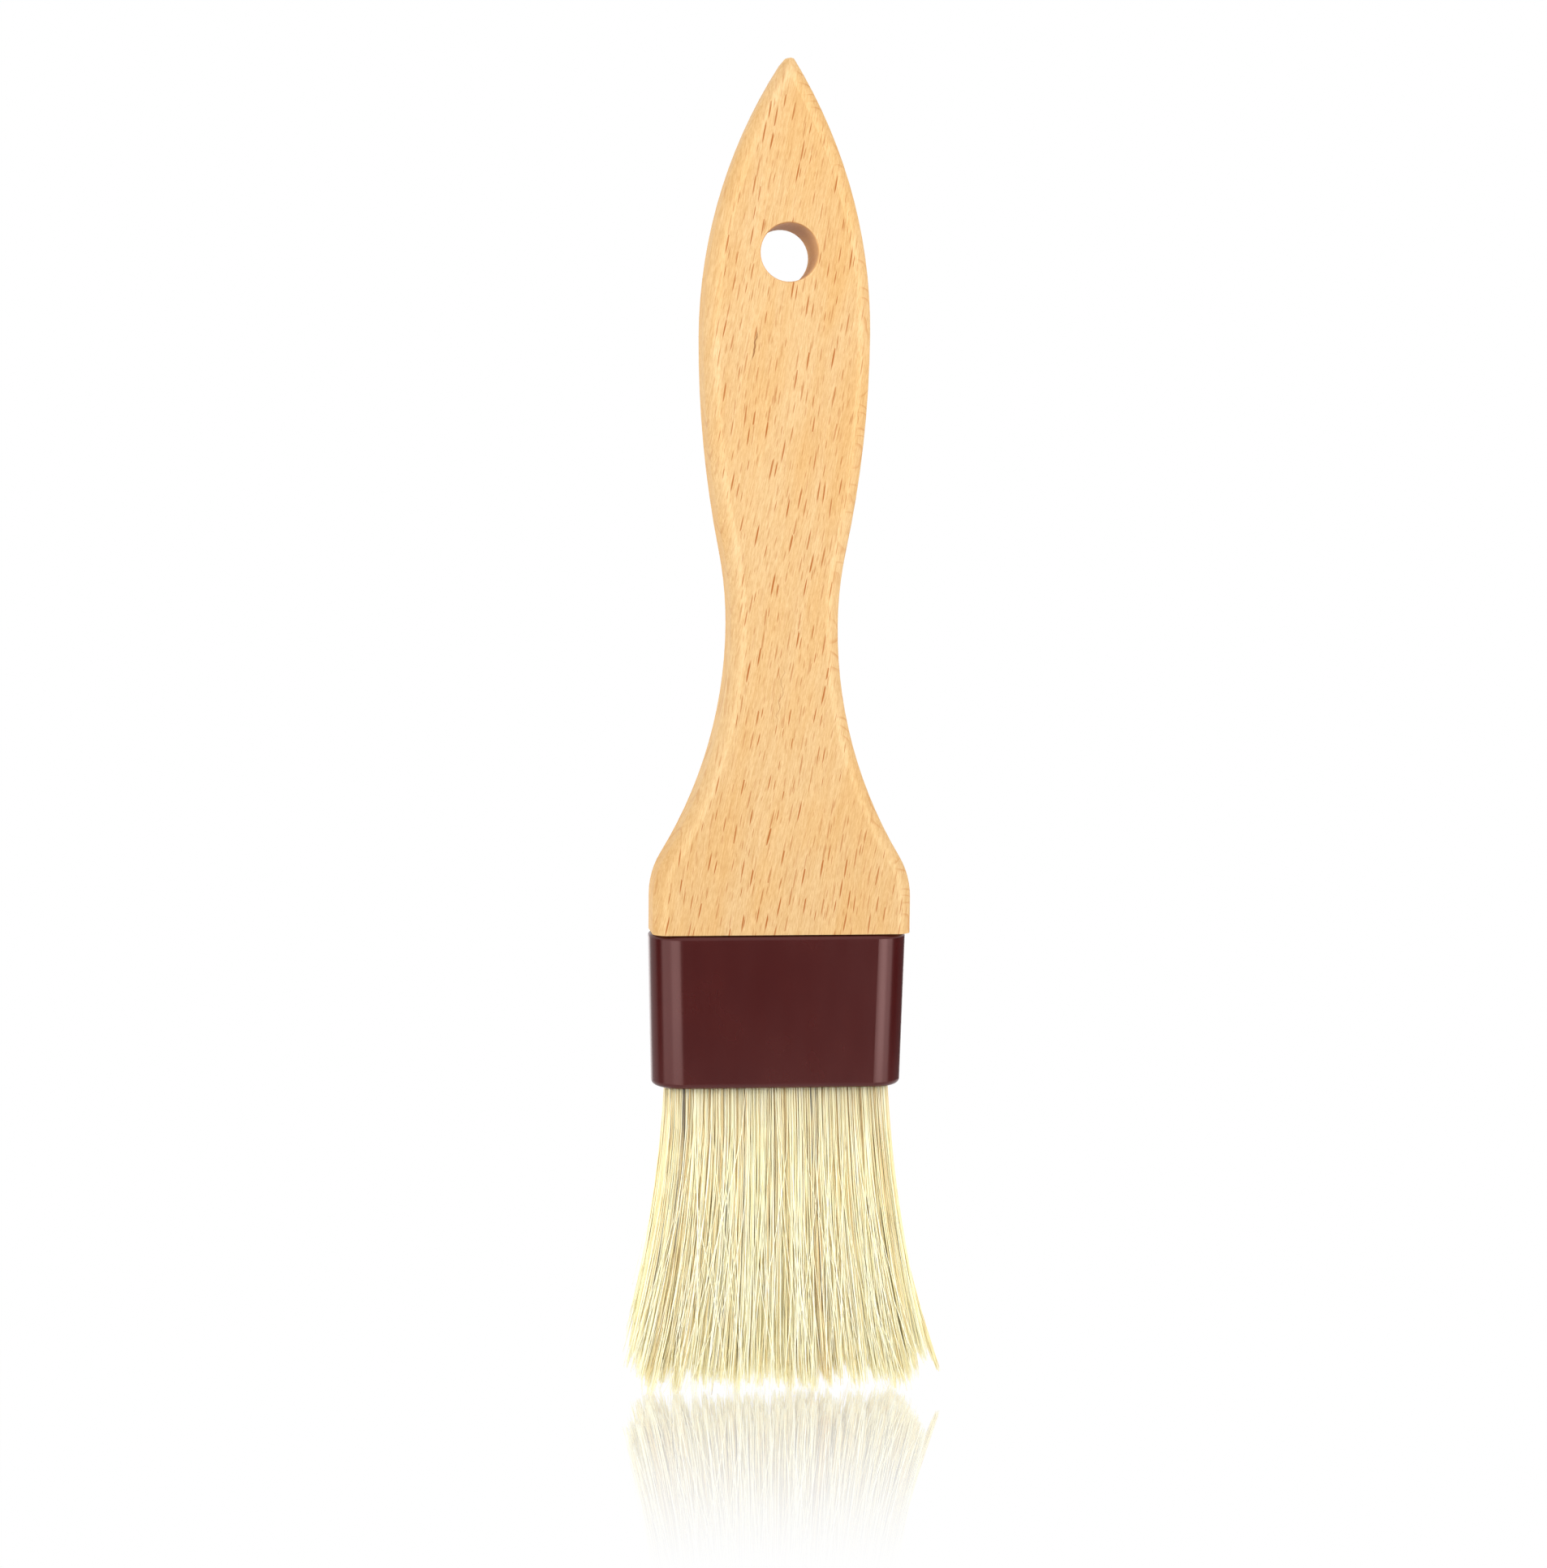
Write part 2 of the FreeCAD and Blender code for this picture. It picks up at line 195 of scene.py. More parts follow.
def flecks(shader, grain, across, along, width, length, start):
    """Short dark ray flecks: one slim spot in each cell, of its own size and strength.

    The cells measure across by along and the largest spots width by length, in millimetres.
    """
    parts = shader.axes(grain)
    slanted = shader.math("ADD", parts["Z"], shader.math("MULTIPLY", parts["X"], FLECK_SLOPE))
    flat = shader.node("ShaderNodeCombineXYZ", {0: parts["X"], 1: slanted}).outputs[0]
    cells = shader.stretched(flat, across, along, 1, start)
    inputs = {"Vector": cells, "Scale": 1.0, "Randomness": 1.0}
    spots = shader.node("ShaderNodeTexVoronoi", inputs, voronoi_dimensions="2D").outputs
    chance = shader.node("ShaderNodeSeparateColor", {0: spots["Color"]}).outputs
    size = shader.between(chance["Red"], 0.0, 1.0, *FLECK_SIZES)
    away = shader.vector_math("SUBTRACT", cells, spots["Position"])
    slim = shader.stretched(away, width / across / 2, length / along / 2, 1)
    distance = shader.length(shader.vector_math("MULTIPLY", slim, (1, 1, 0)))
    spot = shader.between(shader.math("DIVIDE", distance, size), 1.0, 0.5)
    strength = shader.between(chance["Green"], 0.0, 1.0, *FLECK_STRENGTHS)
    return shader.math("MULTIPLY", spot, strength)


def crack(shader, place, top, bottom, width, sway):
    """A fine open crack between two (X, Z) points in millimetres, on the front, widest in its middle."""
    parts = shader.axes(place)
    share = shader.math("DIVIDE", shader.math("SUBTRACT", parts["Z"], top[1]), bottom[1] - top[1])
    line = shader.math("MULTIPLY_ADD", share, bottom[0] - top[0], top[0])
    wander = shader.noise(shader.stretched(place, 40, 40, 1.7), detail=2.0)
    line = shader.math("ADD", line, shader.between(wander, 0.25, 0.75, -sway, sway))
    away = shader.math("ABSOLUTE", shader.math("SUBTRACT", parts["X"], line))
    from_middle = shader.math("ABSOLUTE", shader.math("SUBTRACT", share, 0.5))
    reach = shader.between(from_middle, 0.5, 0.15, 0.0, width)
    near = shader.math("SUBTRACT", reach, away)
    in_front = shader.math("LESS_THAN", parts["Y"], 0.0)
    return shader.math("MULTIPLY", shader.between(near, 0.0, width * 0.6), in_front)


def beech_ground(shader, grain, fibres):
    """Broad warm and pale bands, with the fibres, longer streaks and a mottle laid over them."""
    bands = shader.noise(shader.stretched(grain, 5.5, 9, 70), detail=3.0, roughness=0.55)
    clouds = shader.noise(shader.stretched(grain, 9, 12, 16, (4, 7, 2)), detail=2.0)
    tone = shader.math("ADD", shader.math("MULTIPLY", bands, 0.6), shader.math("MULTIPLY", clouds, 0.4))
    colour = shader.mix(shader.between(tone, 0.36, 0.64), LIGHT_BEECH, WARM_BEECH)

    streaks = shader.noise(shader.stretched(grain, 0.7, 1.5, 26, (9, 1, 5)), detail=2.0)
    mottle = shader.noise(shader.stretched(grain, 0.18, 0.3, 1.1, (5, 5, 1)), detail=2.0, roughness=0.65)
    fine = shader.mix(shader.between(fibres, 0.3, 0.7), (0.94, 0.91, 0.86), (1.04, 1.06, 1.10))
    coarse = shader.mix(shader.between(streaks, 0.35, 0.7), (1.02, 1.03, 1.04), (0.98, 0.96, 0.93))
    grainy = shader.mix(shader.between(mottle, 0.3, 0.7), (0.93, 0.90, 0.85), (1.06, 1.09, 1.13))
    for layer in (fine, coarse, grainy):
        colour = shader.mix(1.0, colour, layer, "MULTIPLY")
    return colour


def ring_lines(shader, grain, sideways):
    """How dark a ring line is: broken curved lines, only where the surface turns to +X."""
    parts = shader.axes(grain)
    ring = shader.math("ADD", shader.math("MULTIPLY", parts["Y"], 0.8), parts["Z"])
    uneven = shader.noise(shader.stretched(grain, 14, 14, 6, (2, 2, 2)), detail=1.0)
    ring = shader.math("ADD", ring, shader.between(uneven, 0.2, 0.8, 0.0, RING_STRAY))
    saw = shader.math("FRACT", shader.math("DIVIDE", ring, RING_SPACING))
    on_side = shader.between(sideways, 0.12, 0.65)
    line = shader.math("MULTIPLY", shader.between(saw, 0.70, 0.97), on_side)
    patchy = shader.noise(shader.stretched(grain, 5, 5, 9, (6, 3, 1)), detail=0.0)
    line = shader.math("MULTIPLY", line, shader.between(patchy, 0.36, 0.58))
    return shader.math("MULTIPLY", line, RING_SHARE)


def brown_bore(shader, place, colour):
    """The colour turned brown inside the hanging hole, with painted shade darkening it towards the hole's top.
    """
    from_axis = shader.length(shader.vector_math("MULTIPLY", place, (1, 0, 1)))
    in_bore = shader.between(from_axis, BORE_RADIUS + BORE_EDGE, BORE_RADIUS)
    colour = shader.mix(shader.math("MULTIPLY", in_bore, BORE_SHARE), colour, BORE_BROWN)
    # Painted shade: the hole's wall darkens towards its top.
    crown_shade = shader.between(shader.axes(place)["Z"], 1.0, BORE_RADIUS, 0.0, CROWN_SHADE_SHARE)
    return shader.mix(shader.math("MULTIPLY", in_bore, crown_shade), colour, CRACK_AND_BORE_SHADE_BROWN)


def make_beech():
    """Beech: leaning ray flecks on a banded ground, a painted sheen with some wear along the edges, ring
    lines, two cracks, a brown bore with painted shade at its top.
    """
    shader = Shader("beech_finish")
    place = shader.position()
    grain = grain_position(shader, place)
    fibres = shader.noise(shader.stretched(grain, 0.16, 0.5, 4), detail=3.0, roughness=0.6)
    colour = beech_ground(shader, grain, fibres)

    sideways = shader.axes(shader.node("ShaderNodeTexCoord").outputs["Normal"])["X"]
    turned = shader.math("ABSOLUTE", sideways)
    large = flecks(shader, grain, across=1.25, along=3.5, width=0.32, length=4.2, start=(3, 8, 0))
    small = flecks(shader, grain, across=1.0, along=2.5, width=0.24, length=2.0, start=(29, 13, 0))
    fleck = shader.math("MAXIMUM", large, shader.math("MULTIPLY", small, SMALL_FLECK_SHARE))
    fading = shader.between(turned, 0.15, 0.6, FLAT_FLECK_SHARE, SIDE_FLECK_SHARE)
    fleck = shader.math("MULTIPLY", fleck, fading)
    colour = shader.mix(fleck, colour, FLECK_BROWN)
    # A pale band where the flat faces turn into the roundovers: painted sheen, partly sanded edge wear.
    edge_sheen_and_wear = shader.math("MULTIPLY", shader.between(turned, 0.03, 0.14), shader.between(turned, 0.55, 0.25))
    colour = shader.mix(edge_sheen_and_wear, colour, shader.mix(1.0, colour, EDGE_SHEEN_AND_WEAR, "MULTIPLY"))
    colour = shader.mix(ring_lines(shader, grain, sideways), colour, RING_BROWN)

    split = crack(shader, place, top=(-4.35, -10.4), bottom=(-5.65, -16.3), width=0.17, sway=0.15)
    shake = crack(shader, place, top=(0.1, -57.5), bottom=(-1.6, -70.5), width=0.09, sway=0.35)
    open_wood = shader.math("MAXIMUM", split, shader.math("MULTIPLY", shake, FINE_CRACK_SHARE))
    colour = shader.mix(shader.math("MULTIPLY", open_wood, CRACK_SHARE), colour, CRACK_AND_BORE_SHADE_BROWN)
    colour = brown_bore(shader, place, colour)

    relief = shader.math("MULTIPLY", shader.math("SUBTRACT", fibres, fleck), 0.4)
    relief = shader.math("SUBTRACT", relief, shader.math("MULTIPLY", open_wood, 3.0))
    shader.set_surface(
        Base_Color=colour,
        Roughness=shader.between(fibres, 0.2, 0.8, 0.42, 0.55),
        Normal=shader.bump(relief, 0.02 * MM, 0.4),
        IOR=1.4,
        Specular_IOR_Level=0.02,
    )
    return shader.material


DEEP_MAROON = (0.033, 0.0018, 0.0018)
CLOUDED_MAROON = (0.037, 0.0026, 0.0023)


def make_maroon_plastic():
    """Moulded dark red-brown plastic, glossy, faintly clouded."""
    shader = Shader("maroon_plastic_finish")
    place = shader.position()
    clouds = shader.noise(shader.stretched(place, 7, 7, 9), detail=3.0, roughness=0.6)
    colour = shader.mix(shader.between(clouds, 0.35, 0.65), DEEP_MAROON, CLOUDED_MAROON)
    flow = shader.noise(shader.stretched(place, 2.5, 2.5, 14, (8, 8, 8)), detail=2.0)
    peel = shader.noise(shader.stretched(place, 1.6, 1.6, 2.4), detail=1.0)
    shader.set_surface(
        Base_Color=colour,
        Roughness=shader.between(flow, 0.3, 0.7, 0.225, 0.24),
        Normal=shader.bump(peel, 0.006 * MM, 0.3),
        IOR=1.5,
        Specular_IOR_Level=0.66,
        Specular_Tint=(1.0, 0.63, 0.60, 1.0),
    )
    return shader.material


def make_wood_glue():
    """Dried adhesive: cream, cloudy, slightly uneven."""
    shader = Shader("wood_glue_finish")
    place = shader.position()
    clouds = shader.noise(shader.stretched(place, 2, 2, 2), detail=3.0)
    shader.set_surface(
        Base_Color=shader.mix(clouds, (0.88, 0.80, 0.60), (0.76, 0.66, 0.45)),
        Roughness=shader.between(clouds, 0.3, 0.7, 0.35, 0.55),
        Normal=shader.bump(clouds, 0.05 * MM, 0.5),
    )
    return shader.material


def make_setting_resin():
    """Cast amber resin, pitted where the bristle roots stand in it."""
    shader = Shader("setting_resin_finish")
    place = shader.position()
    roots = shader.node(
        "ShaderNodeTexVoronoi", {"Vector": shader.stretched(place, 0.3, 0.3, 8), "Scale": 1.0}
    ).outputs["Distance"]
    clouds = shader.noise(shader.stretched(place, 3, 3, 3), detail=2.0)
    amber = shader.mix(clouds, (0.46, 0.33, 0.17), (0.34, 0.22, 0.10))
    shader.set_surface(
        Base_Color=shader.mix(shader.between(roots, 0.3, 0.15), amber, (0.66, 0.56, 0.34)),
        Roughness=shader.between(roots, 0.2, 0.5, 0.55, 0.30),
        Normal=shader.bump(roots, 0.06 * MM, 0.6),
    )
    return shader.material


def make_plug_wood():
    """The spacer strip: plain pale softwood."""
    shader = Shader("plug_wood_finish")
    place = shader.position()
    fibres = shader.noise(shader.stretched(place, 12, 0.4, 0.5), detail=3.0)
    shader.set_surface(
        Base_Color=shader.mix(shader.between(fibres, 0.3, 0.7), (0.84, 0.64, 0.40), (0.70, 0.49, 0.27)),
        Roughness=shader.between(fibres, 0.3, 0.7, 0.55, 0.7),
        Normal=shader.bump(fibres, 0.04 * MM, 0.6),
    )
    return shader.material


# A hair's colour by its tone: from grey-brown through gold to cream.
HAIR_COLOURS = (
    (0.00, (0.20, 0.19, 0.17)),
    (0.05, (0.36, 0.28, 0.19)),
    (0.12, (0.66, 0.49, 0.24)),
    (0.26, (0.84, 0.67, 0.36)),
    (0.45, (0.94, 0.835, 0.49)),
    (0.70, (0.97, 0.922, 0.61)),
    (1.00, (0.98, 0.97, 0.79)),
)
TONE_AT_MOUTH, TONE_AT_TIPS = -0.12, 0.10

# The painted shade under the ferrule, near the mouth, and how far below the mouth it starts and is whole, in
# millimetres.
ROOT_SHADE = (0.88, 0.86, 0.86)
SHADE_START, SHADE_WHOLE = 14, 1


def make_boar_bristle():
    """Bleached boar hair: each hair has its own tone, which varies along its length, with painted shade near
    the ferrule's mouth.
    """
    shader = Shader("boar_bristle_finish")
    tone = shader.node("ShaderNodeAttribute", attribute_name="tone").outputs["Fac"]
    place = shader.position()
    along = shader.noise(shader.stretched(place, 0.5, 0.5, 6), detail=2.0)
    varied = shader.math("ADD", tone, shader.between(along, 0.2, 0.8, -0.10, 0.10))
    height = shader.axes(place)["Z"]
    mouth, tips = mouth_z / MM, tips_z / MM
    varied = shader.math("ADD", varied, shader.between(height, mouth, tips, TONE_AT_MOUTH, TONE_AT_TIPS))
    colour = shader.ramp(varied, HAIR_COLOURS)
    # Painted shade under the ferrule, on the hairs near its mouth.
    near_mouth = shader.between(height, mouth - SHADE_START, mouth - SHADE_WHOLE)
    colour = shader.mix(near_mouth, colour, shader.mix(1.0, colour, ROOT_SHADE, "MULTIPLY"))
    shader.set_surface(
        Base_Color=colour,
        Roughness=shader.between(along, 0.3, 0.7, 0.40, 0.55),
        IOR=1.5,
        Specular_IOR_Level=0.15,
    )
    return shader.material


# ---------------------------------------------------------------- bristles

FRONT, REAR = -1, 1
TUFT_SEED, ROW_SEED = 7, 31

HAIRS_PER_ROW = 4150
STRAYS = 150
TUFTS = 34
RINGS = 8
SIDES = 3

# A hair's thickness: its usual radius and how that varies, how much it thins evenly, and where its end
# starts to narrow and would come to a point, as shares of its length.
HAIR_RADIUS = 0.074 * MM
RADIUS_SPREAD = (0.7, 1.25)
THINNING = 0.22
TIP_START, TIP_POINT = 0.94, 1.06

# Each hair's cross-section is turned by this angle from the last one's, in radians.
GOLDEN_ANGLE = 2.4

# The bundle's outline, from the ferrule's mouth to the longest tips.
MOUTH_HALF_WIDTH = (cavity_high.x - cavity_low.x) / 2 - 0.75 * MM
MOUTH_HALF_DEPTH = (cavity_high.y - cavity_low.y) / 2 - 0.25 * MM
FLARE, CURVED_FLARE = 2.1 * MM, 6.7 * MM
ROW_LEAN = 0.40 * MM
SPLAY_POWER = 1.3
SHOULDER_DEPTH, SHOULDER_FALL = 1.1 * MM, 0.035
DEPTH_SPREAD = 0.8 * MM
ROW_GAP = 0.1 * MM

# How hairs are spread over a row: closer at the flanks and outside, in layers that never line up,
# each a little off its place in depth, and further off at its tip.
FLANK_CROWDING = 0.88
OUTSIDE_CROWDING = 0.55
GOLDEN_STEP = 0.618034
LAYER_SCATTER = 0.02
DEPTH_WANDER = 0.12

# Tufts: how short they end in millimetres, how strongly they pull their hairs across and together in depth,
# how hairs near a border choose, and how far the rear tufts are moved across to stand between the front ones.
TUFT_SHORT = (0.0, 2.4)
TUFT_PULL = (0.3, 0.85)
DEPTH_PULL = 0.25
TUFT_CHOICE = 0.004
REAR_TUFT_SHIFT = 0.03

# Shares of the width are turned into millimetres at the tips with this half width.
TIP_HALF_WIDTH_MM = 24

# Where hairs end above the longest tips, in millimetres: all of them, the scatter in a tuft, the rise at
# a tuft's edge and at the row's flanks, then the shares of hairs that end elsewhere and where those end.
ROW_SHORT = 0.2
END_SCATTER = 0.28
TUFT_EDGE_RISE = 2.6
FLANK_RISE = 6.0
FREE_SHARE, FREE_ENDS = 0.08, (1.5, 6.0)
LONGEST_SHARE, LONGEST_ENDS = 0.05, (0.0, 1.4)
STUNTED_SHARE, STUNTED_RISE = 0.13, (1.0, 24.0)

# How far hairs stray from their lines, in millimetres at the tips, and the shares that stray further.
# The last two are how strongly the hairs are held back, outwards at the flanks and sideways in a tuft.
LEAN = 0.45
LOOSE_SHARE, LOOSE_LEAN = 0.25, 1.5
BOW = 0.30
BOWED_SHARE, STRONG_BOW = 0.05, 3.0
CURLED_SHARE, CURL = 0.06, 1.3
SWING = 0.20
KEPT_IN_AT_FLANKS = 0.85
KEPT_IN_BY_TUFTS = 0.85

# Tones: an ordinary hair's middle, spread and darkest, the painted shade on the row's inside and the painted
# light on its flanks, and the few dark hairs.
TONE, TONE_SPREAD, DARKEST_ORDINARY = 0.63, 0.34, 0.27
INSIDE_SHADE, FLANK_PAINTED_LIGHT = 0.15, 0.12
DARK_SHARE, DARK_TONES = 0.010, (0.05, 0.25)

# Strands of other colour: the first dark hairs, the second brown hairs as the painted shade of a parting.
# Then middle and reach across the row in fortieths of its width, share of hairs, tones.
DARK_STRANDS_AND_PARTING_SHADE = ((-9.0, 0.4, 0.13, 0.00, 0.10), (6.3, 0.55, 0.42, 0.10, 0.26))

# Stray hairs: where they end, how far they slant and curl in millimetres, and how far they lie off the row.
STRAY_ENDS = (1.0, 16.0)
STRAY_SLANT, STRAY_CURL = 5.0, 1.2
STRAY_LIFT = 0.25 * MM

# Locks: how far their hairs start apart, as a share of the width, end apart in height, and stray.
LOCK_SCATTER = 0.012
LOCK_RAGGEDNESS = 1.3 * MM
LOCK_LOOSENESS = 0.16 * MM

# Locks that stand off from each row: across, outward swing, end height, hairs and tone.
LOCKS = {
    FRONT: ((0.965, 1.6 * MM, tips_z + 2.9 * MM, 56, 0.42), (-0.975, 0.3 * MM, tips_z + 4.4 * MM, 22, 0.7)),
    REAR: ((-0.90, 0.2 * MM, tips_z + 2.1 * MM, 14, 0.7), (0.93, 0.2 * MM, tips_z + 5.4 * MM, 12, 0.7)),
}


def ramp_from(start, value):
    """0 where the value is up to start, then rising evenly to 1 where the value is 1."""
    return np.clip((value - start) / (1 - start), 0, 1)


def ring_steps():
    """Where a hair's rings are, as shares of its length.

    One is at the root, the rest go in even steps from near the mouth to the start of the tapered tip.
    """
    return np.concatenate([[0.0], np.linspace(0.18, 0.95, RINGS - 2), [1.0]])


def ring_heights(end_z, lowest=1.0):
    """The heights of each hair's rings, and how far each has fallen: 0 at the mouth, 1 at the longest tips."""
    z = root_z + (end_z[:, None] - root_z) * ring_steps()
    return z, np.clip((mouth_z - z) / (mouth_z - tips_z), 0, lowest)


def half_width(fall):
    """Half the bundle's width; fall is 0 at the ferrule's mouth and 1 at the longest tips."""
    return MOUTH_HALF_WIDTH + FLARE * fall + CURVED_FLARE * fall**2


def half_depth(fall):
    """Half the bundle's depth, which swells just below the mouth and then grows slowly."""
    return MOUTH_HALF_DEPTH + SHOULDER_DEPTH * (1 - np.exp(-fall / SHOULDER_FALL)) + DEPTH_SPREAD * fall


def place_of(side, across, deep, fall):
    """Where a hair at this share of the width and of its row's depth is, at this fall."""
    splay = np.sign(across) * np.abs(across) ** SPLAY_POWER
    x = head_x + across * MOUTH_HALF_WIDTH + splay * (half_width(fall) - MOUTH_HALF_WIDTH) + ROW_LEAN * fall
    y = side * (ROW_GAP + deep * (half_depth(fall) - ROW_GAP))
    return x, y


class Hairs:
    """Hairs as lines of points, gathered group by group and turned into one mesh of thin tapered tubes."""

    def __init__(self):
        self.lines, self.radii, self.tones = [], [], []

    def add(self, x, y, z, radius, tone):
        """Arrays of hairs by rings for the points; one radius and one tone for each hair."""
        self.lines.append(np.stack([x, y, z], axis=-1))
        self.radii.append(radius)
        self.tones.append(tone)

    def mesh_object(self, name):
        """One mesh of all the hairs, with their tones in an attribute for the material."""
        lines = np.concatenate(self.lines)
        radii = np.concatenate(self.radii)
        tones = np.concatenate(self.tones)
        hairs = len(lines)
        steps = ring_steps()
        taper = (1 - THINNING * steps) * np.minimum((TIP_POINT - steps) / (TIP_POINT - TIP_START), 1)
        angle = np.arange(SIDES) * 2 * math.pi / SIDES
        turn = (np.arange(hairs) * GOLDEN_ANGLE)[:, None] + angle
        ring = np.stack([np.cos(turn), np.sin(turn), np.zeros_like(turn)], axis=-1)
        reach = radii[:, None] * taper
        points = lines[:, :, None, :] + reach[:, :, None, None] * ring[:, None, :, :]
        index = np.arange(hairs * RINGS * SIDES).reshape(hairs, RINGS, SIDES)
        after = np.roll(index, -1, axis=2)
        walls = np.stack([index[:, :-1], index[:, 1:], after[:, 1:], after[:, :-1]], axis=-1)
        ends = np.concatenate([index[:, 0, :], index[:, -1, ::-1]])
        faces = walls.reshape(-1, 4).tolist() + ends.tolist()
        mesh = bpy.data.meshes.new(name)
        mesh.from_pydata(points.reshape(-1, 3).tolist(), [], faces)
        mesh.polygons.foreach_set("use_smooth", np.ones(len(faces), bool))
        tone = mesh.attributes.new("tone", "FLOAT", "POINT")
        tone.data.foreach_set("value", np.repeat(tones, RINGS * SIDES).astype(np.float32))
        mesh.update()
        made = bpy.data.objects.new(name, mesh)
        bpy.context.scene.collection.objects.link(made)
        return made


class Tufts:
    """The tufts that the tips of both rows draw together into: where each is, how short and how tight."""

    def __init__(self, rng):
        self.across = (np.arange(TUFTS) + rng.uniform(0.05, 0.95, TUFTS)) / TUFTS * 2 - 1
        self.short = rng.uniform(*TUFT_SHORT, TUFTS)
        self.pull = rng.uniform(*TUFT_PULL, TUFTS)


def hair_ends(rng, across, away, free, tuft_short):
    """How far above the longest tips each hair ends, in metres: tufts are longest in their middle."""
    count = len(across)
    short = rng.exponential(END_SCATTER, count) + tuft_short
    short += TUFT_EDGE_RISE * np.clip((away - 0.2) / 0.5, 0, 1.4)
    short[free] = rng.uniform(*FREE_ENDS, free.sum())
    longest = rng.random(count) < LONGEST_SHARE
    short[longest] = rng.uniform(*LONGEST_ENDS, longest.sum())
    short += FLANK_RISE * ramp_from(0.78, np.abs(across)) ** 1.2
    stunted = rng.random(count) < STUNTED_SHARE
    short[stunted] += rng.uniform(*STUNTED_RISE, stunted.sum())
    return short * MM


def wander(rng, across, fall):
    """How each hair strays from its line, sideways and front to back, in metres.

    Hairs at the flanks stray outwards less.
    """
    count = len(across)
    lean = rng.normal(0, LEAN, count)
    loose = rng.random(count) < LOOSE_SHARE
    lean[loose] = rng.normal(0, LOOSE_LEAN, loose.sum())
    bow = rng.normal(0, BOW, count)
    bowed = rng.random(count) < BOWED_SHARE
    bow[bowed] = rng.normal(0, STRONG_BOW, bowed.sum())
    curl = np.zeros(count)
    curled = rng.random(count) < CURLED_SHARE
    curl[curled] = rng.normal(0, CURL, curled.sum())
    sideways = lean[:, None] * fall + bow[:, None] * fall**2.6
    sideways = sideways + curl[:, None] * ramp_from(0.72, fall) ** 2
    cycles = rng.uniform(1.0, 3.0, count)[:, None]
    phase = rng.uniform(0, 2 * math.pi, count)[:, None]
    swing = np.abs(rng.normal(0, SWING, count))[:, None]
    turn = 2 * math.pi * cycles * fall + phase
    sideways = sideways + swing * fall * np.sin(turn)
    in_out = 0.6 * swing * fall * np.cos(turn)
    outer = ramp_from(0.82, np.abs(across))[:, None]
    outwards = np.sign(across)[:, None] * sideways > 0
    sideways = np.where(outwards, sideways * (1 - KEPT_IN_AT_FLANKS * outer), sideways)
    return sideways * MM, in_out * MM


def add_row(hairs, rng, side, tufts):
    """One row: hairs that splay outwards, draw together into tufts and end at uneven heights."""
    count = HAIRS_PER_ROW
    across = (np.arange(count) + rng.random(count)) / count * 2 - 1
    across = np.sign(across) * np.abs(across) ** FLANK_CROWDING
    layer = np.arange(count) * GOLDEN_STEP + rng.normal(0, LAYER_SCATTER, count)
    deep = (layer % 1) ** OUTSIDE_CROWDING
    tuft_across = tufts.across + (REAR_TUFT_SHIFT if side == REAR else 0.0)
    away = np.abs(across[:, None] + rng.normal(0, TUFT_CHOICE, count)[:, None] - tuft_across)
    tuft = away.argmin(axis=1)
    away = away.min(axis=1) * TIP_HALF_WIDTH_MM
    free = rng.random(count) < FREE_SHARE
    end_z = tips_z + ROW_SHORT * MM + hair_ends(rng, across, away, free, tufts.short[tuft])
    z, fall = ring_heights(end_z, lowest=1.05)

    pull = np.where(free, 0.0, tufts.pull[tuft])[:, None] * fall**4
    now_across = across[:, None] + (tuft_across[tuft] - across)[:, None] * pull
    now_deep = np.clip(deep[:, None] + rng.normal(0, DEPTH_WANDER, count)[:, None] * fall, 0, 1.04)
    now_deep = now_deep * (1 - DEPTH_PULL * pull)
    x, y = place_of(side, now_across, now_deep, fall)
    sideways, in_out = wander(rng, across, fall)
    sideways = sideways * (1 - np.where(free, 0.0, KEPT_IN_BY_TUFTS)[:, None] * fall**4)

    radius = HAIR_RADIUS * rng.uniform(*RADIUS_SPREAD, count)
    # Hairs deep inside the row get painted shade; those at the flanks get painted light.
    tone = rng.normal(TONE, TONE_SPREAD, count) - INSIDE_SHADE * (1 - deep)
    tone = np.maximum(tone, DARKEST_ORDINARY) + FLANK_PAINTED_LIGHT * ramp_from(0.85, np.abs(across))
    dark = rng.random(count) < DARK_SHARE
    tone[dark] = rng.uniform(*DARK_TONES, dark.sum())
    # The first strand is dark hairs; the second paints the shade of a parting.
    for middle, reach, share, darkest, palest in DARK_STRANDS_AND_PARTING_SHADE:
        here = np.abs(across * 20 - middle) < reach
        tinted = here & (rng.random(count) < share)
        tone[tinted] = rng.uniform(darkest, palest, tinted.sum())
    hairs.add(x + sideways, y + in_out, z, radius, np.clip(tone, 0.0, 1.0))


def add_lock(hairs, rng, side, across, swing, end, count, tone):
    """A few flank hairs that draw together and stand off from the row, swung outwards by this much."""
    start = across + rng.normal(0, LOCK_SCATTER, count)
    deep = rng.uniform(0.2, 0.7, count)
    z, fall = ring_heights(end + rng.exponential(LOCK_RAGGEDNESS, count))
    together = fall**2.5
    now_across = start[:, None] + (across - start)[:, None] * together
    now_deep = deep[:, None] + (0.45 - deep)[:, None] * together
    x, y = place_of(side, now_across, now_deep, fall)
    x = x + swing * fall**2.2 + rng.normal(0, LOCK_LOOSENESS, count)[:, None] * fall
    radius = HAIR_RADIUS * rng.uniform(0.8, 1.2, count)
    hairs.add(x, y, z, radius, rng.normal(tone, 0.12, count).clip(0, 1))


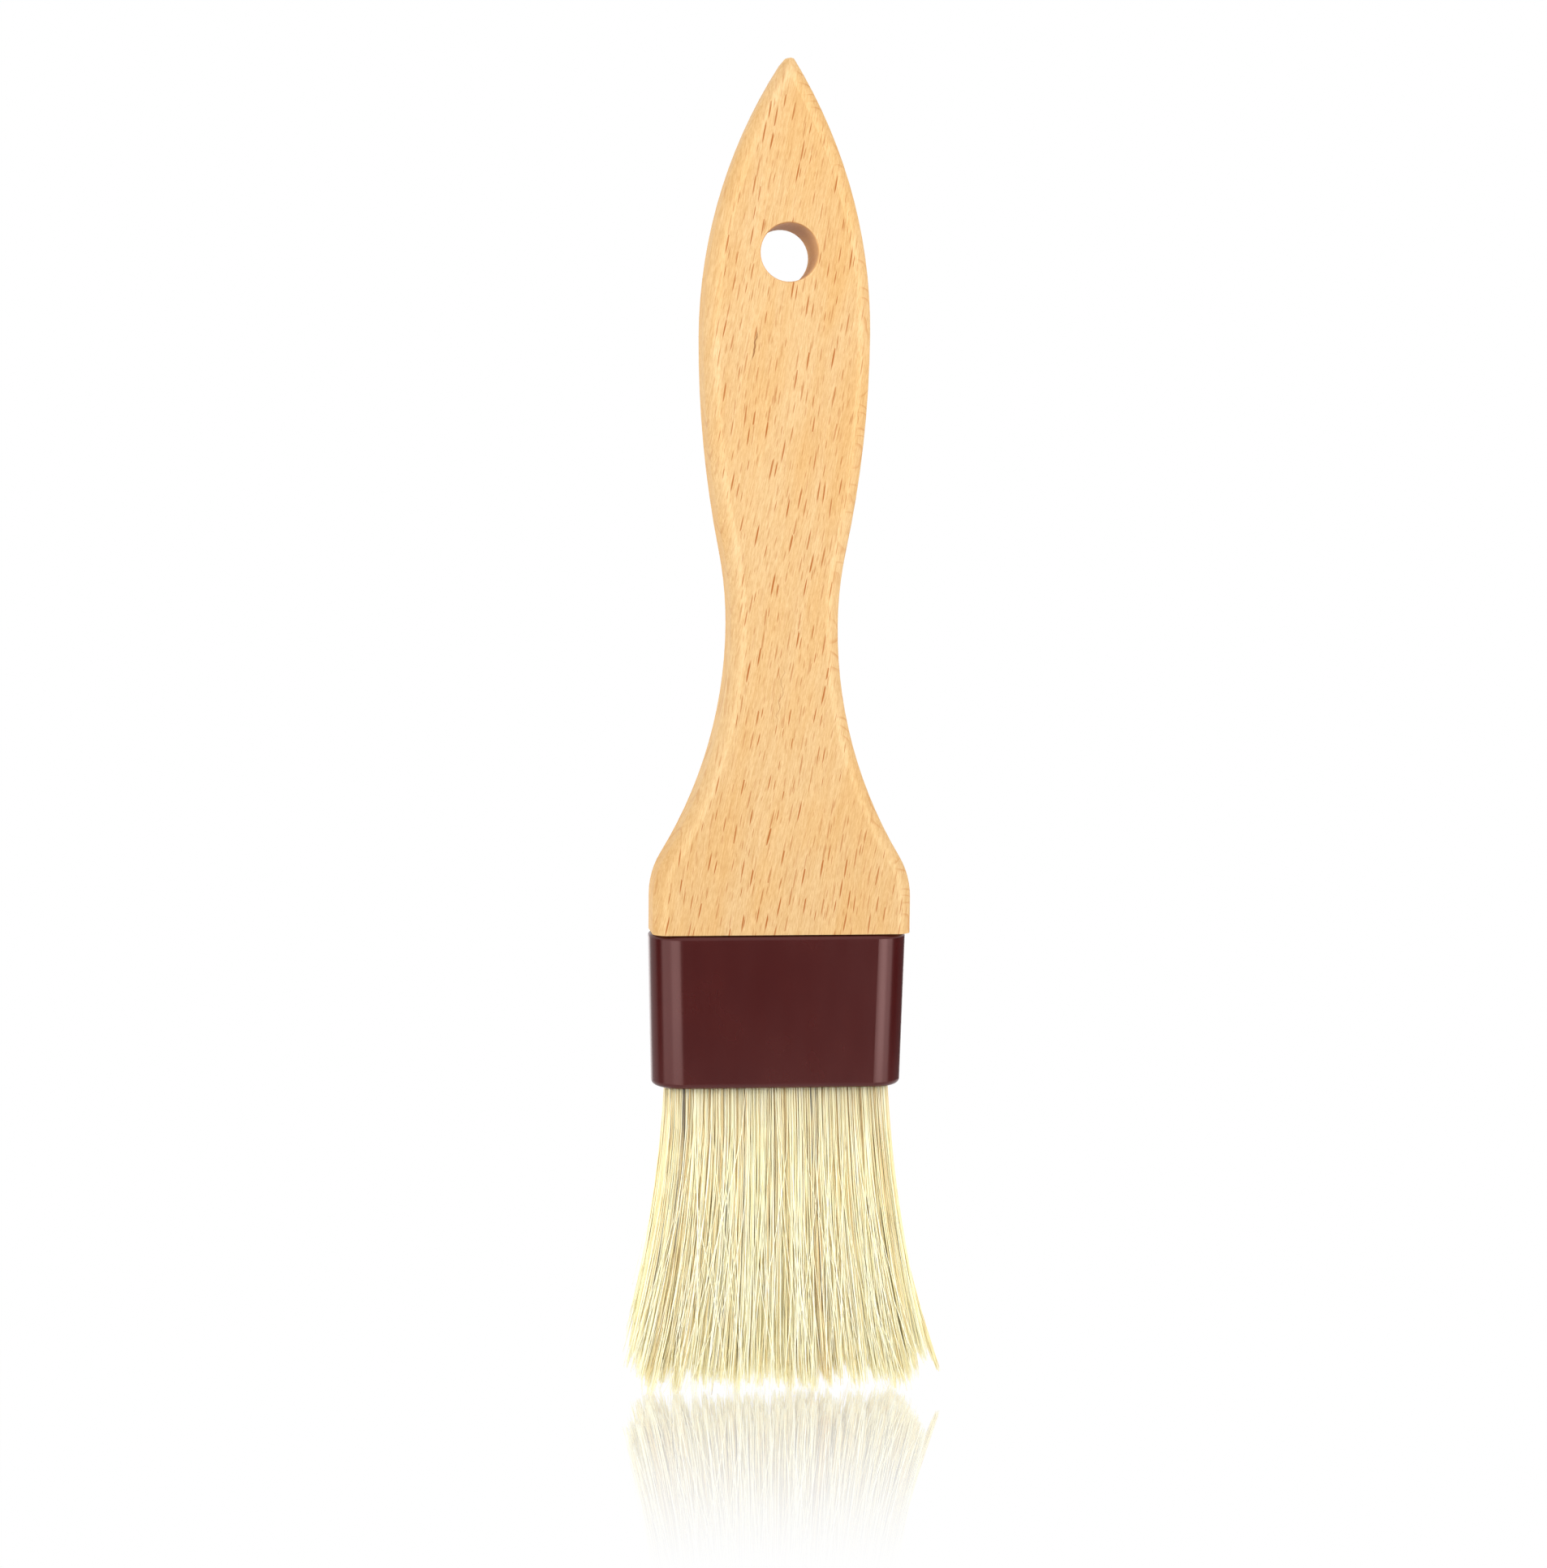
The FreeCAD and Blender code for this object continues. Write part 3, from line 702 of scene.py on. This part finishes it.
def add_strays(hairs, rng, side):
    """Pale single hairs that lie across the row on its outside, none of them wider than the row."""
    across = rng.uniform(-0.85, 0.85, STRAYS)
    z, fall = ring_heights(tips_z + rng.uniform(*STRAY_ENDS, STRAYS) * MM)
    x, y = place_of(side, across[:, None], 1.03, fall)
    leaves = rng.uniform(0.0, 0.55, STRAYS)[:, None]
    slant = rng.normal(0, STRAY_SLANT, STRAYS)[:, None] * MM
    x = x + slant * np.clip(fall - leaves, 0, 1) ** rng.uniform(1.0, 1.8, STRAYS)[:, None]
    curl = rng.normal(0, STRAY_CURL, STRAYS)[:, None] * MM
    x = x + curl * ramp_from(0.7, fall) ** 2
    reach = half_width(fall)
    x = head_x + np.clip(x - head_x, -reach, reach)
    y = y + side * STRAY_LIFT * np.clip((fall - leaves) / 0.2, 0, 1)
    radius = HAIR_RADIUS * rng.uniform(0.6, 1.0, STRAYS)
    hairs.add(x, y, z, radius, rng.uniform(0.75, 1.0, STRAYS))


def make_bristles():
    tufts = Tufts(np.random.default_rng(TUFT_SEED))
    for side, node in ((FRONT, "front_bristles"), (REAR, "rear_bristles")):
        rng = np.random.default_rng(ROW_SEED + side)
        hairs = Hairs()
        add_row(hairs, rng, side, tufts)
        add_strays(hairs, rng, side)
        for across, swing, end, count, tone in LOCKS[side]:
            add_lock(hairs, rng, side, across, swing, end, count, tone)
        piece = hairs.mesh_object(f"{node}_hairs")
        piece.data.materials.append(BOAR_BRISTLE)
        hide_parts(node)
        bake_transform(piece)


# ---------------------------------------------------------------- studio

WHITE = (1, 1, 1, 1)


def emission_material(name, strength):
    shader = Shader(name)
    shader.tree.nodes.remove(shader.surface)
    light = shader.node("ShaderNodeEmission", {"Color": WHITE, "Strength": strength})
    shader.feed(shader.tree.nodes["Material Output"].inputs["Surface"], light.outputs[0])
    return shader.material


def stage_mesh(name, points, faces, material):
    mesh = bpy.data.meshes.new(name)
    mesh.from_pydata(points, [], faces)
    mesh.materials.append(material)
    made = bpy.data.objects.new(name, mesh)
    bpy.context.scene.collection.objects.link(made)
    return made


# The panels stand round the brush at this distance and reach this far up or down from the horizon.
# Each is made of flat strips, about this many degrees wide.
PANEL_DISTANCE = 2.0
PANEL_REACH = 1.9
HORIZON = -0.2
PANEL_STEP = 6

# Studio panels: name, the bearings in degrees where it starts and ends, 0 in front and 90 at +X, and light.
# The panels below the horizon are what the ferrule mirrors. Those brighter than this also light the brush.
LIGHTING_LEVEL = 1
MIRRORED_PANELS = (
    ("softbox_left", -40, -6.5, 3.1),
    ("softbox_left_end", -78, -40, 1.9),
    ("softbox_right", 17.5, 44, 4.3),
    ("softbox_right_end", 44, 66, 2.3),
    ("gap_front", -6.5, 17.5, 0.0),
    ("flag_left", -104, -78, 0.05),
    ("flag_right", 66, 99, 0.05),
    ("rim_left", -150, -104, 0.65),
    ("rim_right", 99, 150, 0.12),
    ("softbox_rear", 150, 210, 1.8),
)

# Those above it only light the brush, so the polished floor mirrors just the brush and the white room.
FILL_PANELS = (
    ("fill_left", -110, -50, 2.8),
    ("fill_front", -50, 35, 1.6),
    ("fill_right", 35, 110, 2.4),
    ("fill_rear", 130, 230, 1.6),
)


def add_panel(name, start, end, light, above=False):
    """An upright curved panel that the camera doesn't see."""
    low, high = (HORIZON, PANEL_REACH) if above else (-PANEL_REACH, HORIZON)
    count = max(2, round((end - start) / PANEL_STEP))
    bearings = np.radians(np.linspace(start, end, count + 1))
    points, faces = [], []
    for bearing in bearings:
        x, y = PANEL_DISTANCE * math.sin(bearing), -PANEL_DISTANCE * math.cos(bearing)
        points += [(x, y, low), (x, y, high)]
    for i in range(count):
        faces.append((2 * i, 2 * i + 1, 2 * i + 3, 2 * i + 2))
    panel = stage_mesh(name, points, faces, emission_material(f"{name}_light", light))
    panel.visible_camera = False
    panel.visible_glossy = not above
    panel.visible_diffuse = above or light > LIGHTING_LEVEL


FLOOR_RADIUS = 0.19
FLOOR_SIDES = 48
FLOOR_GAP = 0.15 * MM
FLOOR_GLOW = 1.4
GLOW_HEIGHT = 0.05 * MM

# The mirror's share right below the brush, how far away it has faded out, how much of the distance
# along X counts for that, and its roughness.
MIRROR_SHARE = 0.62
MIRROR_FADE = 0.075
MIRROR_WEIGHT_X = 0.3
MIRROR_ROUGHNESS = 0.002


def add_floor(height):
    """A white disc, polished below the brush, and over it a glow that lights but isn't seen."""
    shader = Shader("floor_finish")
    shader.tree.nodes.remove(shader.surface)
    place = shader.node("ShaderNodeTexCoord").outputs["Object"]
    away = shader.length(shader.vector_math("MULTIPLY", place, (MIRROR_WEIGHT_X, 1, 0)))
    share = shader.between(away, 0.0, MIRROR_FADE, MIRROR_SHARE, 0.0)
    white = shader.node("ShaderNodeEmission", {"Color": WHITE, "Strength": 1.0}).outputs[0]
    polish = {"Color": WHITE, "Roughness": MIRROR_ROUGHNESS}
    mirror = shader.node("ShaderNodeBsdfGlossy", polish).outputs[0]
    mixed = shader.node("ShaderNodeMixShader", {0: share, 1: white, 2: mirror}).outputs[0]
    shader.feed(shader.tree.nodes["Material Output"].inputs["Surface"], mixed)
    turns = np.linspace(0, 2 * math.pi, FLOOR_SIDES + 1)[:-1]
    points = [(FLOOR_RADIUS * math.cos(t), FLOOR_RADIUS * math.sin(t), 0) for t in turns]
    disc = [tuple(range(FLOOR_SIDES))]
    floor = stage_mesh("floor", points, disc, shader.material)
    floor.location.z = height
    glow = stage_mesh("floor_glow", points, disc, emission_material("glow_light", FLOOR_GLOW))
    glow.location.z = height + GLOW_HEIGHT
    glow.visible_camera = False
    glow.visible_glossy = False


def add_studio():
    world = bpy.data.worlds.new("white_room")
    world.use_nodes = True
    background = world.node_tree.nodes["Background"].inputs
    background["Color"].default_value = WHITE
    background["Strength"].default_value = 1.0
    bpy.context.scene.world = world
    for panel in MIRRORED_PANELS:
        add_panel(*panel)
    for panel in FILL_PANELS:
        add_panel(*panel, above=True)
    add_floor(tips_z - FLOOR_GAP)
    bpy.context.scene.view_settings.view_transform = "Standard"
    bpy.context.scene.cycles.max_bounces = 16
    bpy.context.scene.cycles.diffuse_bounces = 14


# The photograph looks at the brush from the left and from above, yet its level lines stay nearly level.
# So the camera stands at BEARING and ELEVATION from the brush, but is turned only by TURN,
# and the shift brings the brush back to the middle of the frame.
CAMERA_DISTANCE = 0.400
BEARING = math.radians(-8.2)
ELEVATION = math.radians(5.45)
TURN = math.radians(-4.0)
ROLL = 0.002
AIM_HEIGHT = -77.8 * MM
AIM_LEFT = 0.97 * MM
FOCAL_LENGTH = 61.46
SENSOR_WIDTH = 36.0
SHIFT = 0.125


def directions(turn, tilt):
    """To the right and back from what a level camera at this turn and tilt looks at."""
    right = Vector((math.cos(turn), math.sin(turn), 0))
    back = Vector((math.sin(turn) * math.cos(tilt), -math.cos(turn) * math.cos(tilt), math.sin(tilt)))
    return right, back


def add_camera():
    to_right, to_camera = directions(BEARING, ELEVATION)
    place = Vector((0, 0, AIM_HEIGHT)) - to_right * AIM_LEFT + to_camera * CAMERA_DISTANCE
    level, back = directions(TURN, ELEVATION)
    upright = back.cross(level)
    right = level * math.cos(ROLL) + upright * math.sin(ROLL)
    up = back.cross(right)
    data = bpy.data.cameras.new("camera")
    data.lens = FOCAL_LENGTH
    data.sensor_width = SENSOR_WIDTH
    data.shift_x = SHIFT
    camera = bpy.data.objects.new("camera", data)
    bpy.context.scene.collection.objects.link(camera)
    for column, axis in enumerate((right, up, back, place)):
        for row in range(3):
            camera.matrix_world[row][column] = axis[row]
    bpy.context.scene.camera = camera


# ---------------------------------------------------------------- the brush

BOAR_BRISTLE = make_boar_bristle()
NODE_FINISHES = {
    "handle": make_beech(),
    "tenon_glue": make_wood_glue(),
    "ferrule": make_maroon_plastic(),
    "resin_setting": make_setting_resin(),
    "spacer_plug": make_plug_wood(),
    "front_bristles": BOAR_BRISTLE,
    "rear_bristles": BOAR_BRISTLE,
}
for node_name, finish in NODE_FINISHES.items():
    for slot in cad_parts[node_name].material_slots:
        slot.material = finish

make_bristles()
add_studio()
add_camera()
